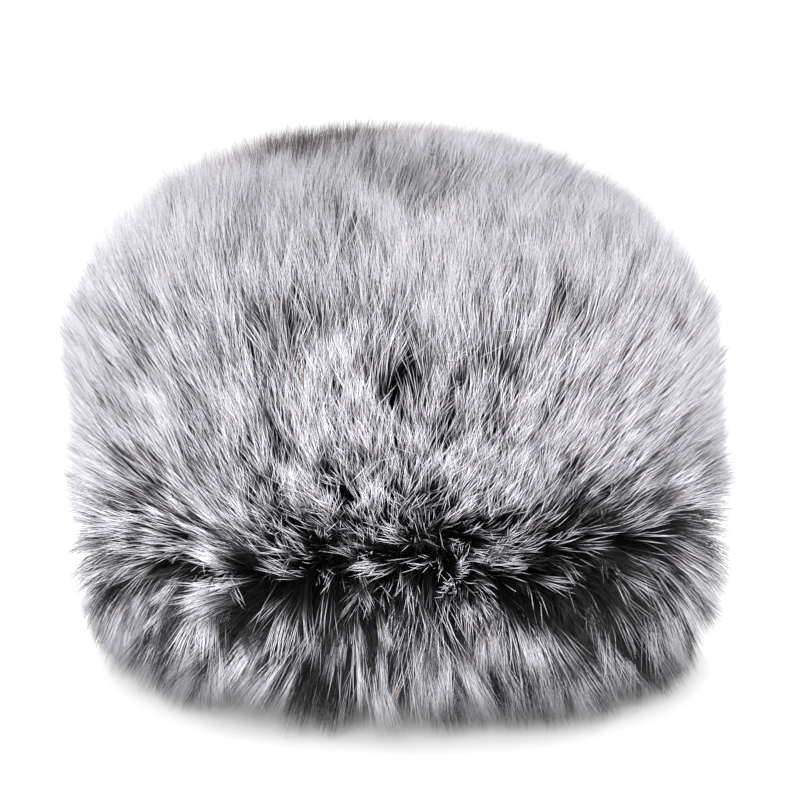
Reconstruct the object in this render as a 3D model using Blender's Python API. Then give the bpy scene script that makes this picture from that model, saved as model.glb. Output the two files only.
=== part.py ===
"""Furry windscreen that pulls over the head of a large desktop microphone.

A cut-and-sewn cover: faux fur (pile on a knitted backing) in a front, a back and a crown panel,
a lining inside it, seam threads between the panels, and a bound hem with an elastic band in it.
Metres, +Z up. The origin is the centre of the face that the fringe rests on.
"""
import math

import bmesh
import bpy

# Room for the microphone
CAVITY_RADIUS = 0.0425
CAVITY_TOP = 0.084
SHOULDER_RADIUS = 0.034

# Fur pile, outside: widest just above the fringe, and narrower where the shoulder starts
FUR_RADIUS = 0.065
FUR_SHOULDER_START = 0.0635
FUR_SHOULDER_RADIUS = 0.057
FUR_TOP = 0.107
FRINGE_INNER_RADIUS = 0.044
FRINGE_OUTER_RADIUS = 0.0475
BULGE_RADIUS = 0.020
BULGE_START = -75.0        # degrees below the horizontal

# Cloth layers, from the cavity outwards
LINING_THICKNESS = 0.0008
BACKING_THICKNESS = 0.0012
LAYER_GAP = 0.0003

# Seams
SEAM_ANGLE = 45.0          # degrees up the shoulder, where the crown is sewn in
SEAM_GROOVE = 0.0012       # between the edges of two panels, where the thread runs
PILE_GROOVE = 0.0006       # between the piles of two panels
THREAD_RADIUS = 0.00025

# Hem
HEM_BOTTOM = 0.009
BINDING_THICKNESS = 0.0007
BINDING_HEIGHT = 0.015
ELASTIC_WIDTH = 0.008
ELASTIC_THICKNESS = 0.0012
ELASTIC_JOIN_LENGTH = 0.008
STITCH_HEIGHT = 0.021

# Facets
TURN_STEP = 10.0           # degrees
SHOULDER_STEP = 9.0        # degrees
BULGE_STEP = 15.0          # degrees
THREAD_RESOLUTION = 1

# Places worked out from the sizes above
SHOULDER_CENTRE_RADIUS = CAVITY_RADIUS - SHOULDER_RADIUS
SHOULDER_CENTRE_HEIGHT = CAVITY_TOP - SHOULDER_RADIUS
BACKING_INSIDE = LINING_THICKNESS + LAYER_GAP
BACKING_OUTSIDE = BACKING_INSIDE + BACKING_THICKNESS
PILE_INSIDE = BACKING_OUTSIDE + LAYER_GAP
BINDING_TOP = HEM_BOTTOM + BINDING_HEIGHT
CHANNEL_INSIDE = -LAYER_GAP
CHANNEL_OUTSIDE = BACKING_OUTSIDE + LAYER_GAP
CHANNEL_FLOOR = HEM_BOTTOM + BINDING_THICKNESS
CLOTH_BOTTOM = CHANNEL_FLOOR + ELASTIC_WIDTH + 3 * LAYER_GAP

FRONT = (180.0, 360.0)
BACK = (0.0, 180.0)
WHOLE_TURN = (0.0, 360.0)
BACK_CENTRE = 90.0


def clear_scene():
    """Takes everything out of the scene."""
    for thing in list(bpy.data.objects):
        bpy.data.objects.remove(thing, do_unlink=True)


def cloth(name, colour, roughness):
    """A plain non-metallic material."""
    material = bpy.data.materials.new(name)
    material.use_nodes = True
    shader = material.node_tree.nodes["Principled BSDF"]
    shader.inputs["Base Color"].default_value = (*colour, 1.0)
    shader.inputs["Roughness"].default_value = roughness
    shader.inputs["Metallic"].default_value = 0.0
    material.diffuse_color = (*colour, 1.0)
    return material


def degrees_between(first, last, step):
    """First, last and the multiples of step between them, so that neighbours share their facets."""
    inner = [n * step for n in range(math.ceil(first / step), math.floor(last / step) + 1)]
    return [first, *(a for a in inner if first + 0.01 < a < last - 0.01), last]


def arc(centre, radius, first, last, step):
    """Points (radius, height) of an arc about centre, between two angles above the horizontal."""
    return [
        (centre[0] + radius * math.cos(math.radians(a)), centre[1] + radius * math.sin(math.radians(a)))
        for a in degrees_between(first, last, step)
    ]


def shoulder(offset, first, last):
    """The rounded shoulder of the cavity, moved outwards by offset."""
    centre = (SHOULDER_CENTRE_RADIUS, SHOULDER_CENTRE_HEIGHT)
    return arc(centre, SHOULDER_RADIUS + offset, first, last, SHOULDER_STEP)


def fur_shoulder(first, last):
    """The rounded shoulder of the pile's outside."""
    centre = (FUR_SHOULDER_START - FUR_SHOULDER_RADIUS, FUR_TOP - FUR_SHOULDER_RADIUS)
    return arc(centre, FUR_SHOULDER_RADIUS, first, last, SHOULDER_STEP)


def half_gap_angle(gap, radius):
    """Half of a gap, as degrees of a circle."""
    return math.degrees(gap / 2 / radius)


def revolved(outline, turn):
    """A closed body: the outline of (radius, height) points turned about Z, with capped ends."""
    whole = turn[1] - turn[0] >= 360.0
    angles = degrees_between(*turn, TURN_STEP)
    if whole:
        angles = angles[:-1]
    body = bmesh.new()
    poles = {i: body.verts.new((0, 0, z)) for i, (r, z) in enumerate(outline) if r < 1e-6}
    sections = [
        [
            poles[i] if i in poles
            else body.verts.new((r * math.cos(math.radians(a)), r * math.sin(math.radians(a)), z))
            for i, (r, z) in enumerate(outline)
        ]
        for a in angles
    ]
    pairs = list(zip(sections, sections[1:] + sections[:1])) if whole else list(zip(sections, sections[1:]))
    for here, there in pairs:
        for i in range(len(outline)):
            j = (i + 1) % len(outline)
            corners = list(dict.fromkeys((here[i], there[i], there[j], here[j])))
            if len(corners) > 2:
                body.faces.new(corners)
    if not whole:
        body.faces.new(sections[0])
        body.faces.new(sections[-1])
    bmesh.ops.recalc_face_normals(body, faces=body.faces)
    return body


def add_body(name, outline, turn, material):
    """A turned body as an object of its own."""
    body = revolved(outline, turn)
    mesh = bpy.data.meshes.new(name)
    body.to_mesh(mesh)
    body.free()
    mesh.shade_smooth()
    mesh.set_sharp_from_angle(angle=math.radians(35))
    mesh.materials.append(material)
    bpy.context.collection.objects.link(bpy.data.objects.new(name, mesh))


def add_thread(name, points, cyclic, material):
    """A round sewing thread along its points."""
    curve = bpy.data.curves.new(name, "CURVE")
    curve.dimensions = "3D"
    curve.bevel_depth = THREAD_RADIUS
    curve.bevel_resolution = THREAD_RESOLUTION
    curve.use_fill_caps = True
    spline = curve.splines.new("POLY")
    spline.points.add(len(points) - 1)
    for point, place in zip(spline.points, points):
        point.co = (*place, 1.0)
    spline.use_cyclic_u = cyclic
    curve.materials.append(material)
    bpy.context.collection.objects.link(bpy.data.objects.new(name, curve))


def ring_points(radius, height):
    """The corners of a level ring."""
    return [
        (radius * math.cos(math.radians(a)), radius * math.sin(math.radians(a)), height)
        for a in degrees_between(*WHOLE_TURN, TURN_STEP)[:-1]
    ]


def seam_points(offset, bottom, turn_angle):
    """A seam that climbs the wall and the shoulder as far as the crown seam, at one place on the turn."""
    stop = SEAM_ANGLE - groove_angle(offset) * 2
    profile = [(CAVITY_RADIUS + offset, bottom), *shoulder(offset, 0, stop)]
    turn = math.radians(turn_angle)
    return [(r * math.cos(turn), r * math.sin(turn), z) for r, z in profile]


def groove_angle(offset):
    """Degrees of the shoulder that half a seam groove takes."""
    return half_gap_angle(SEAM_GROOVE, SHOULDER_RADIUS + offset)


def sleeve_outline(inside, outside, bottom):
    """Section of a cloth layer from its bottom edge up to the crown seam."""
    stop = SEAM_ANGLE - groove_angle(inside)
    inner = [(CAVITY_RADIUS + inside, bottom), *shoulder(inside, 0, stop)]
    outer = [(CAVITY_RADIUS + outside, bottom), *shoulder(outside, 0, stop)]
    return inner + outer[::-1]


def crown_outline(inside, outside):
    """Section of a cloth layer's crown, from the crown seam to the axis."""
    start = SEAM_ANGLE + groove_angle(inside)
    inner = [*shoulder(inside, start, 90), (0.0, CAVITY_TOP + inside)]
    outer = [*shoulder(outside, start, 90), (0.0, CAVITY_TOP + outside)]
    return inner + outer[::-1]


def panel_turn(side, gap):
    """The turn of a front or back panel, less half the side seams' gap at each end."""
    narrowest = SHOULDER_CENTRE_RADIUS + SHOULDER_RADIUS * math.cos(math.radians(SEAM_ANGLE))
    trim = half_gap_angle(gap, narrowest)
    return side[0] + trim, side[1] - trim


def fur_panel_outline():
    """Section of the front or back pile: fringe below the hem, wall, and shoulder up to the crown."""
    stop = SEAM_ANGLE - half_gap_angle(PILE_GROOVE, SHOULDER_RADIUS + PILE_INSIDE)
    over_binding = CAVITY_RADIUS + CHANNEL_OUTSIDE + BINDING_THICKNESS + 2 * LAYER_GAP + 2 * THREAD_RADIUS
    under_hem = HEM_BOTTOM - 2 * LAYER_GAP
    inner = [
        (FRINGE_INNER_RADIUS, 0.0),
        (FRINGE_INNER_RADIUS, under_hem),
        (over_binding, under_hem),
        (over_binding, BINDING_TOP + LAYER_GAP),
        (CAVITY_RADIUS + PILE_INSIDE, BINDING_TOP + LAYER_GAP),
        *shoulder(PILE_INSIDE, 0, stop),
    ]
    bulge_centre = (FUR_RADIUS - BULGE_RADIUS, BULGE_RADIUS)
    outer = [
        (FRINGE_OUTER_RADIUS, 0.0),
        *arc(bulge_centre, BULGE_RADIUS, BULGE_START, 0, BULGE_STEP),
        *fur_shoulder(0, stop),
    ]
    return inner + outer[::-1]


def fur_crown_outline():
    """Section of the crown's pile."""
    start = SEAM_ANGLE + half_gap_angle(PILE_GROOVE, SHOULDER_RADIUS + PILE_INSIDE)
    inner = [*shoulder(PILE_INSIDE, start, 90), (0.0, CAVITY_TOP + PILE_INSIDE)]
    outer = [*fur_shoulder(start, 90), (0.0, FUR_TOP)]
    return inner + outer[::-1]


def add_fur():
    """The pile of the three fur panels."""
    fur = cloth("fur_pile", (0.42, 0.41, 0.44), 0.9)
    add_body("fur_front", fur_panel_outline(), panel_turn(FRONT, PILE_GROOVE), fur)
    add_body("fur_back", fur_panel_outline(), panel_turn(BACK, PILE_GROOVE), fur)
    add_body("fur_crown", fur_crown_outline(), WHOLE_TURN, fur)


def add_backing():
    """The knitted cloth that the pile grows from."""
    knit = cloth("knit_backing", (0.03, 0.028, 0.03), 0.95)
    section = sleeve_outline(BACKING_INSIDE, BACKING_OUTSIDE, CLOTH_BOTTOM)
    add_body("backing_front", section, panel_turn(FRONT, SEAM_GROOVE), knit)
    add_body("backing_back", section, panel_turn(BACK, SEAM_GROOVE), knit)
    add_body("backing_crown", crown_outline(BACKING_INSIDE, BACKING_OUTSIDE), WHOLE_TURN, knit)


def add_lining():
    """The lining: a sleeve with one seam at the back, and a crown."""
    jersey = cloth("lining_cloth", (0.045, 0.045, 0.05), 0.85)
    whole = panel_turn((BACK_CENTRE, BACK_CENTRE + 360.0), SEAM_GROOVE)
    add_body("lining_sleeve", sleeve_outline(0.0, LINING_THICKNESS, CLOTH_BOTTOM), whole, jersey)
    add_body("lining_crown", crown_outline(0.0, LINING_THICKNESS), WHOLE_TURN, jersey)


def add_seam_threads():
    """The threads that run in the grooves between the panels."""
    thread = cloth("sewing_thread", (0.02, 0.02, 0.022), 0.6)
    backing_middle = (BACKING_INSIDE + BACKING_OUTSIDE) / 2
    lining_middle = LINING_THICKNESS / 2
    for name, offset in (("crown_seam_thread", backing_middle), ("lining_crown_seam_thread", lining_middle)):
        radius, height = shoulder(offset, SEAM_ANGLE, SEAM_ANGLE)[0]
        add_thread(name, ring_points(radius, height), True, thread)
    add_thread("right_seam_thread", seam_points(backing_middle, CLOTH_BOTTOM, 0.0), False, thread)
    add_thread("left_seam_thread", seam_points(backing_middle, CLOTH_BOTTOM, 180.0), False, thread)
    add_thread("lining_seam_thread", seam_points(lining_middle, CLOTH_BOTTOM, BACK_CENTRE), False, thread)


def add_hem_binding():
    """A tape folded round the edges of the cloth, which makes the channel for the elastic."""
    tape = cloth("binding_tape", (0.025, 0.025, 0.028), 0.8)
    inner, outer = CAVITY_RADIUS + CHANNEL_INSIDE, CAVITY_RADIUS + CHANNEL_OUTSIDE
    section = [
        (inner, BINDING_TOP),
        (inner, CHANNEL_FLOOR),
        (outer, CHANNEL_FLOOR),
        (outer, BINDING_TOP),
        (outer + BINDING_THICKNESS, BINDING_TOP),
        (outer + BINDING_THICKNESS, HEM_BOTTOM),
        (inner - BINDING_THICKNESS, HEM_BOTTOM),
        (inner - BINDING_THICKNESS, BINDING_TOP),
    ]
    add_body("hem_binding", section, WHOLE_TURN, tape)


def elastic_section(thickness):
    """Section of the elastic, in the middle of the channel."""
    middle = CAVITY_RADIUS + (CHANNEL_INSIDE + CHANNEL_OUTSIDE) / 2
    low = CHANNEL_FLOOR + LAYER_GAP
    return [
        (middle - thickness / 2, low),
        (middle + thickness / 2, low),
        (middle + thickness / 2, low + ELASTIC_WIDTH),
        (middle - thickness / 2, low + ELASTIC_WIDTH),
    ]


def add_elastic():
    """The band in the hem, and the patch at the back where its ends are lapped and sewn."""
    elastic = cloth("elastic_band", (0.06, 0.06, 0.065), 0.7)
    half_join = half_gap_angle(ELASTIC_JOIN_LENGTH, CAVITY_RADIUS)
    gap = half_gap_angle(2 * LAYER_GAP, CAVITY_RADIUS)
    band = (BACK_CENTRE + half_join + gap, BACK_CENTRE + 360.0 - half_join - gap)
    join = (BACK_CENTRE - half_join, BACK_CENTRE + half_join)
    add_body("elastic_band", elastic_section(ELASTIC_THICKNESS), band, elastic)
    channel = CHANNEL_OUTSIDE - CHANNEL_INSIDE
    add_body("elastic_join", elastic_section(channel - 2 * LAYER_GAP), join, elastic)


def add_hem_stitching():
    """The two threads of the lockstitch through the binding: needle side out, bobbin side in."""
    thread = cloth("hem_thread", (0.02, 0.02, 0.022), 0.6)
    clear = BINDING_THICKNESS + LAYER_GAP + THREAD_RADIUS
    needle = CAVITY_RADIUS + CHANNEL_OUTSIDE + clear
    bobbin = CAVITY_RADIUS + CHANNEL_INSIDE - clear
    add_thread("hem_needle_thread", ring_points(needle, STITCH_HEIGHT), True, thread)
    add_thread("hem_bobbin_thread", ring_points(bobbin, STITCH_HEIGHT), True, thread)


clear_scene()
add_fur()
add_backing()
add_lining()
add_seam_threads()
add_hem_binding()
add_elastic()
add_hem_stitching()
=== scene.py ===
"""Furry windscreen: the looks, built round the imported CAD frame.

The fur is real geometry: every strand is a thin tapering spike that grows from the knitted backing,
follows a nap (up the sides, down at the fringe, back over the crown) and gathers into tufts and locks.
Under it are the backing, lining, hem tape and elastic as closed shells, and every stitch of the seams.
"""
import math

import bmesh
import bpy
import numpy as np
from mathutils import Matrix, Vector, kdtree


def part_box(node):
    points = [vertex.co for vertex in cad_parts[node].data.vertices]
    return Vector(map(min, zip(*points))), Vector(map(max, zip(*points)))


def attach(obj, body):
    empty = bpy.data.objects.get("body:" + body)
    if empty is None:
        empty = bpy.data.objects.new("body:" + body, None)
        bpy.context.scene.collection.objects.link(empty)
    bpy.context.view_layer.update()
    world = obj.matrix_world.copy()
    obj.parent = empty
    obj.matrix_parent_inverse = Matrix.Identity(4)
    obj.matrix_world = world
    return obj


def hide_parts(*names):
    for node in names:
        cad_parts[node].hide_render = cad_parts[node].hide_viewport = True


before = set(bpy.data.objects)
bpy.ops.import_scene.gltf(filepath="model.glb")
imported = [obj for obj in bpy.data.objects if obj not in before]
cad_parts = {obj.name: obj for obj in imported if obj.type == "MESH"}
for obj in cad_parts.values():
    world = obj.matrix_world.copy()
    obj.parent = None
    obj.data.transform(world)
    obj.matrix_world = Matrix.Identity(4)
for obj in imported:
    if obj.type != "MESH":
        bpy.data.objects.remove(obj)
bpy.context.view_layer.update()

MM = 0.001

# Camera, where the photograph's was: level with the crown and close, so perspective is strong
CAMERA_DISTANCE = 0.375  # metres, as everywhere
CAMERA_HEIGHT = 0.106
CAMERA_LENS, SENSOR_WIDTH = 88.0, 36.0  # mm
CAMERA_ROLL = 1.2  # degrees
AIM_HEIGHT = 0.052

# Studio. Softboxes: name, place, size, power in watts, colour
FLOOR_HALF = 4.0
FLOOR_WHITE = 0.96
WORLD_STRENGTH = 1.08  # below this the floor's far edge shows against the world
SOFTBOXES = (
    ("key", (-0.15, -0.95, 0.50), 0.5, 8.2, (1.0, 0.99, 0.98)),
    ("fill", (0.8, -0.6, 0.30), 0.7, 0.4, (0.96, 0.97, 1.0)),
    ("top", (0.1, 0.35, 0.9), 0.7, 1.8, (1.0, 1.0, 1.0)),
    ("back", (-0.4, 0.9, 0.45), 0.7, 4.0, (1.0, 1.0, 1.0)),
    ("low", (-0.1, -0.9, 0.10), 0.5, 9.0, (1.0, 1.0, 1.0)),
)

# Shapes repeated from the CAD, which boxes alone can't give
SHOULDER_RADIUS = 0.0363  # of the backing's outside
FUR_SHOULDER_START = 0.0635
FUR_SHOULDER_RADIUS = 0.057
FRINGE_RADIUS = 0.0500
BULGE_RADIUS = 0.020
BULGE_SQUARENESS = 0.7
# How far the pile stands proud of the CAD at the shoulder and above the hem, the height of most of
# it, and over how much height it fades
SHOULDER_FLUFF = (3.2 * MM, 0.073, 0.013)
HEM_FLUFF = (2.2 * MM, 0.027, 0.012)
# How much further out it is on the left, from a height up, and how much lower on the crown
LEFT_FLUFF = 4.0 * MM
LEFT_FLUFF_FROM, LEFT_FLUFF_RISE = 0.045, 0.025
CROWN_LAID_DOWN = 1.8 * MM
LAID_DOWN_FROM = 0.09

# The cloth layers, as in the CAD
CAVITY_SHOULDER = 0.034
LINING_THICKNESS = 0.8 * MM
BACKING_THICKNESS = 1.2 * MM
BINDING_THICKNESS = 0.7 * MM
LAYER_GAP = 0.3 * MM
BACKING_MIDDLE = LINING_THICKNESS + LAYER_GAP + BACKING_THICKNESS / 2
CAVITY_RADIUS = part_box("lining_sleeve")[1].x - LINING_THICKNESS
CAVITY_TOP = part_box("lining_crown")[1].z - LINING_THICKNESS
CLOTH_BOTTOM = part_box("lining_sleeve")[0].z
SEAM_ANGLE = 45.0  # degrees up the shoulder
SEAM_GROOVE = 1.2 * MM
STITCH_HEIGHT = 21.0 * MM

# Cloth and thread
KNIT_PITCH = 1.1 * MM
JERSEY_PITCH = 0.8 * MM
TAPE_PITCH = 0.7 * MM
# Each cloth's dark and light colour, relief, roughness and sheen. Besides a random tone, the colour
# follows the relief: painted highlight on the raised stitches, painted shade in the grooves
KNIT = ((0.012, 0.011, 0.012), (0.06, 0.057, 0.06), 0.25 * MM, 0.9, 0.3)
JERSEY = ((0.022, 0.022, 0.025), (0.085, 0.085, 0.093), 0.12 * MM, 0.8, 0.4)
TAPE = ((0.012, 0.012, 0.014), (0.05, 0.05, 0.055), 0.1 * MM, 0.75, 0.3)
ELASTIC = ((0.02, 0.02, 0.022), (0.12, 0.12, 0.13), 0.06 * MM, 0.65, 0.2)
ELASTIC_REPEATS = (700, 30)
BACKING_STEPS, LINING_STEPS, CROWN_STEPS = 56, 60, 40  # of the cloths' sections
ELASTIC_SLACK = 0.55 * MM  # what the band leaves free of the room from the cavity to its outer face
ELASTIC_END_THICKNESS = 1.08 * MM
ELASTIC_END_OFFSET = 0.56 * MM  # of each lapped end's middle from the band's
BINDING_FULLNESS = 1.03  # how much longer the tape is than the hem that gathers it
LAP_HALF_ANGLE = 0.10  # radians, of the tape's lapped ends
THREAD_RADIUS = 0.25 * MM
THREAD_COLOURS = ((0.0, (0.008, 0.008, 0.009)), (1.0, (0.05, 0.05, 0.055)))
ZIGZAG_PITCH = 1.5 * MM
HEM_STITCH_PITCH = 3.0 * MM
HEM_CLEARANCE = 6.5 * MM  # of the seams' lowest stitches above the cloth's bottom edge

# Fur
STRANDS = 195000
STRANDS_A_PIECE = 12000
STRAND_STATIONS = np.array([0.0, 0.38, 0.74, 1.0])
STRAND_TAPER = np.array([1.0, 0.92, 0.62])
STRAND_RADIUS = 0.10 * MM
STRAND_WAVER = 0.014  # of its length
KNEE_OUT, KNEE_ALONG = 0.28, 0.22  # where a strand bends, in its length, out of the cloth and along
TUFT_SPACING = 1.0 * MM
LOCK_SPACING = 4.5 * MM
ROOTS_UNDER_BINDING = 1.2 * MM
ROOT_SCATTER = 0.25 * MM
FRINGE_CROWDING = 5.0  # how much denser the fringe's roots are, above the binding
CROWDING = ((60 * MM, 72 * MM, 84 * MM), (1.0, 1.35, 1.1))  # higher up: heights, and how dense
BROAD_WAVES, FINE_WAVES = 16 * MM, 6 * MM  # sizes of the nap's own unevenness
SHORTEST, LONGEST = 2 * MM, 42 * MM
CLEAR_OF_TABLE = 0.2 * MM
WARM_SHADE = 0.8  # strands whose shade is above this are brownish
STRAY_SHARE = 0.004
SHORT_SHARE, SHORT_TONE = 0.12, 0.66
WARM_SHARE, PATCH_WARM_SHARE = 0.003, 0.9
WARM_TINT = (0.96, 0.76, 0.61)
SHADE_SHIFT = 0.14  # how far a strand's shade moves its colours along it
FUR_COLOURS = (  # place along the strand, and colour
    (0.0, (0.003, 0.003, 0.0035)),
    (0.56, (0.006, 0.0058, 0.0065)),
    (0.67, (0.065, 0.062, 0.068)),
    (0.77, (0.38, 0.37, 0.395)),
    (0.84, (0.64, 0.628, 0.68)),
    (0.96, (0.745, 0.73, 0.785)),
)
UV_NAME = "OFBake"

# Round the hem the pile parts. Rows: azimuth from the front in degrees, then the heights in mm below
# which it falls as a fringe and above which it rises, how far it opens there, from 0 to 1 or a little
# more, and how many degrees the parting's upper side droops
HEM_WAVES = (
    (-180, 27, 30, 0.5, 20),
    (-135, 27, 31, 0.3, 20),
    (-90, 26.5, 29, 0.3, 22),
    (-60, 26, 28.5, 0.6, 28),
    (-45, 25.8, 28.5, 0.8, 30),
    (-30, 25.8, 29, 0.9, 28),
    (-15, 26, 31, 0.9, 26),
    (-5, 26.5, 33, 0.9, 22),
    (5, 26.5, 32, 0.8, 26),
    (15, 26.5, 30, 0.6, 30),
    (25, 26.5, 31, 1.0, 28),
    (40, 27.5, 32.5, 1.2, 24),
    (55, 27, 34, 0.8, 22),
    (70, 26.5, 35, 0.6, 20),
    (85, 26.5, 31, 0.2, 20),
    (120, 27, 29, 0.6, 20),
    (150, 26.5, 31, 0.3, 20),
    (180, 27, 30, 0.5, 20),
)

# How the pile stands, in degrees from straight up the cloth, so that 90 stands straight out
BODY_STAND = ((0, 12, 30), (52, 54, 53))  # by height in mm above the parting
UPPER_EDGE, UPPER_EDGE_OPENS = 76, 32  # just above the parting, and how far an opening turns it
LOWER_EDGE, LOWER_EDGE_OPENS = 118, 28  # just below it
FRINGE_STAND = 160
RIDGE_STAND = 104  # between the two edges
CROWN_STAND = 58
PARTING_WANDER = 3.2  # mm

# Small openings in the nap: azimuth in degrees, height of the roots in mm, and how far they open.
# Fainter ones are strewn all round.
SPLITS = (
    (-26, 57, 1.3),
    (-18, 59, 1.0),
    (0, 54, 1.4),
    (7, 47, 0.8),
    (-8, 36, 0.5),
    (48, 33, 1.2),
    (38, 37, 0.7),
    (32, 62, 0.9),
    (60, 60, 1.0),
    (-50, 44, 0.6),
)
FAINT_SPLITS = 90
FAINT_SPLIT_HEIGHTS = (38, 80)
FAINT_SPLIT_STRENGTHS = (0.15, 0.55)
SPLIT_HALF_WIDTH = 2.2 * MM
SPLIT_HALF_HEIGHT = 3.6 * MM
SPLIT_LEAN = math.radians(38)

# Painted shade in the parting's deep places, which darkens the strands' colour: azimuth, height, half
# width in degrees, and strength
HOLLOW_SHADES = (
    (37, 30, 12, 0.65),
    (-10, 30, 12, 0.25),
)
HOLLOW_HALF_HEIGHT = 5 * MM

# The crown. Its seam shows in front, where the body's fur stands past it. Rows of azimuths in
# degrees, then values at them
CROWN_TILT = math.pi / 4  # of the cloth at the seam
CROWN_NAP = (0.35, 1.0, 0.0)  # back and a little to the right
SEAM_SHOWS = ((-60, -45, 5, 22), (0, 1, 1, 0))
SEAM_STAND = ((-60, -40, -15, 0, 15, 25), (50, 42, 46, 64, 78, 50))
SEAM_TRIM = ((-60, -20, -3, 11, 22), (1, 1, 0.97, 0.94, 1))
SEAM_SPREAD = 0.22  # radians of tilt
BEHIND_SEAM, BEHIND_SEAM_SPREAD = 16 * MM, 14 * MM
PATCH_PLACE = (-14 * MM, -7.5 * MM)  # the brownish patch at the crown's left
PATCH_SPREAD = (10 * MM, 6 * MM)
PATCH_FULLNESS = 1.4
FRINGE_FAN = ((-90, -50, -8, 8, 50, 90), (-6, -34, -12, 12, 34, 6))  # sideways lean by azimuth


def add_object(name, data):
    """A new object in the scene."""
    thing = bpy.data.objects.new(name, data)
    bpy.context.scene.collection.objects.link(thing)
    return thing


def put(node, name, value):
    """Sets the default value of one of a node's inputs."""
    node.inputs[name].default_value = value


def new_material(name, roughness):
    """A new material: itself, its nodes, its links and its shader."""
    material = bpy.data.materials.new(name)
    material.use_nodes = True
    nodes = material.node_tree.nodes
    shader = nodes["Principled BSDF"]
    put(shader, "Roughness", roughness)
    return material, nodes, material.node_tree.links, shader


def add_uv(mesh, uv, edge):
    """The mesh's UV map, kept a little off its edges."""
    layer = mesh.uv_layers.new(name=UV_NAME)
    layer.data.foreach_set("uv", np.clip(uv, edge, 1 - edge).astype(np.float32).ravel())


def add_ramp(nodes, links, value, stops):
    """A node that turns a value into a colour by stops of place and colour; its output."""
    ramp = nodes.new("ShaderNodeValToRGB")
    links.new(value, ramp.inputs[0])
    elements = ramp.color_ramp.elements
    while len(elements) < len(stops):
        elements.new(0.5)
    for element, (place, colour) in zip(elements, stops):
        element.position = place
        element.color = (*colour, 1)
    return ramp.outputs[0]


def calculator(nodes, links):
    """A function that adds a math node for an operation on numbers or other nodes' outputs."""
    def math_node(operation, *values):
        node = nodes.new("ShaderNodeMath")
        node.operation = operation
        for socket, value in zip(node.inputs, values):
            if hasattr(value, "is_linked"):
                links.new(value, socket)
            else:
                socket.default_value = value
        return node.outputs[0]
    return math_node


def add_camera():
    """The photograph's camera, turned to face the middle of the windscreen."""
    data = bpy.data.cameras.new("camera")
    data.lens = CAMERA_LENS
    data.sensor_width = SENSOR_WIDTH
    camera = add_object("camera", data)
    place = Vector((0.0, -CAMERA_DISTANCE, CAMERA_HEIGHT))
    look = Vector((0.0, 0.0, AIM_HEIGHT)) - place
    turn = look.to_track_quat("-Z", "Y").to_matrix().to_4x4()
    roll = Matrix.Rotation(math.radians(CAMERA_ROLL), 4, "Z")
    camera.matrix_world = Matrix.Translation(place) @ turn @ roll
    bpy.context.scene.camera = camera


def add_softbox(name, place, size, power, colour):
    """A square area light that faces the windscreen."""
    data = bpy.data.lights.new(name, "AREA")
    data.shape = "SQUARE"
    data.size = size
    data.energy = power
    data.color = colour
    lamp = add_object(name, data)
    lamp.location = place
    look = Vector((0, 0, AIM_HEIGHT)) - Vector(place)
    lamp.rotation_euler = look.to_track_quat("-Z", "Y").to_euler()


def add_studio():
    """Pale floor, white surroundings and soft lights."""
    floor_mesh = bpy.data.meshes.new("floor")
    corners = [(x * FLOOR_HALF, y * FLOOR_HALF, 0) for x, y in ((-1, -1), (1, -1), (1, 1), (-1, 1))]
    floor_mesh.from_pydata(corners, [], [(0, 1, 2, 3)])
    material, _, _, shader = new_material("floor", 0.8)
    put(shader, "Base Color", (FLOOR_WHITE, FLOOR_WHITE, FLOOR_WHITE, 1))
    floor_mesh.materials.append(material)
    floor = add_object("floor", floor_mesh)
    world = bpy.data.worlds.new("studio")
    bpy.context.scene.world = world
    world.use_nodes = True
    background = world.node_tree.nodes["Background"]
    put(background, "Color", (1.0, 1.0, 1.0, 1))
    put(background, "Strength", WORLD_STRENGTH)
    for softbox in SOFTBOXES:
        add_softbox(*softbox)
    bpy.context.scene.view_settings.view_transform = "Standard"


def smooth_noise(points, scale, channels, seed):
    """Smooth random values in -1..1 at points, which change over distances of about scale."""
    size = 48
    lattice = np.random.default_rng(seed).uniform(-1, 1, (size, size, size, channels))
    place = points / scale + 16.37
    cell = np.floor(place).astype(int)
    part = place - cell
    part = part * part * (3 - 2 * part)
    total = np.zeros((len(points), channels))
    for corner in np.ndindex(2, 2, 2):
        weight = np.prod(np.where(corner, part, 1 - part), axis=1)
        index = (cell + corner) % size
        total += weight[:, None] * lattice[index[:, 0], index[:, 1], index[:, 2]]
    return total


def unit(vectors):
    """Each row at length 1."""
    return vectors / np.maximum(np.linalg.norm(vectors, axis=-1, keepdims=True), 1e-12)


def outwards(turn):
    """Level unit vectors, out from the axis at angles round it."""
    return np.stack([np.cos(turn), np.sin(turn), 0 * turn], -1)


class Dome:
    """A turned wall: upright, then a round shoulder, then a flat crown.

    Distances run up it from its bottom edge to the middle of the crown.
    """

    def __init__(self, radius, bottom, top, shoulder):
        self.radius, self.top, self.shoulder = radius, top, shoulder
        self.wall = top - shoulder - bottom
        self.length = self.wall + shoulder * math.pi / 2 + radius - shoulder

    def section(self, s):
        """Radius, height, and the angle of the outward normal above the horizontal."""
        angle = np.clip((s - self.wall) / self.shoulder, 0, math.pi / 2)
        beyond = np.maximum(s - self.wall - self.shoulder * math.pi / 2, 0)
        below = np.minimum(s - self.wall, 0)
        centre_radius, centre_height = self.radius - self.shoulder, self.top - self.shoulder
        radius = centre_radius + self.shoulder * np.cos(angle) - beyond
        height = centre_height + self.shoulder * np.sin(angle) + below
        return radius, height, angle


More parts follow.
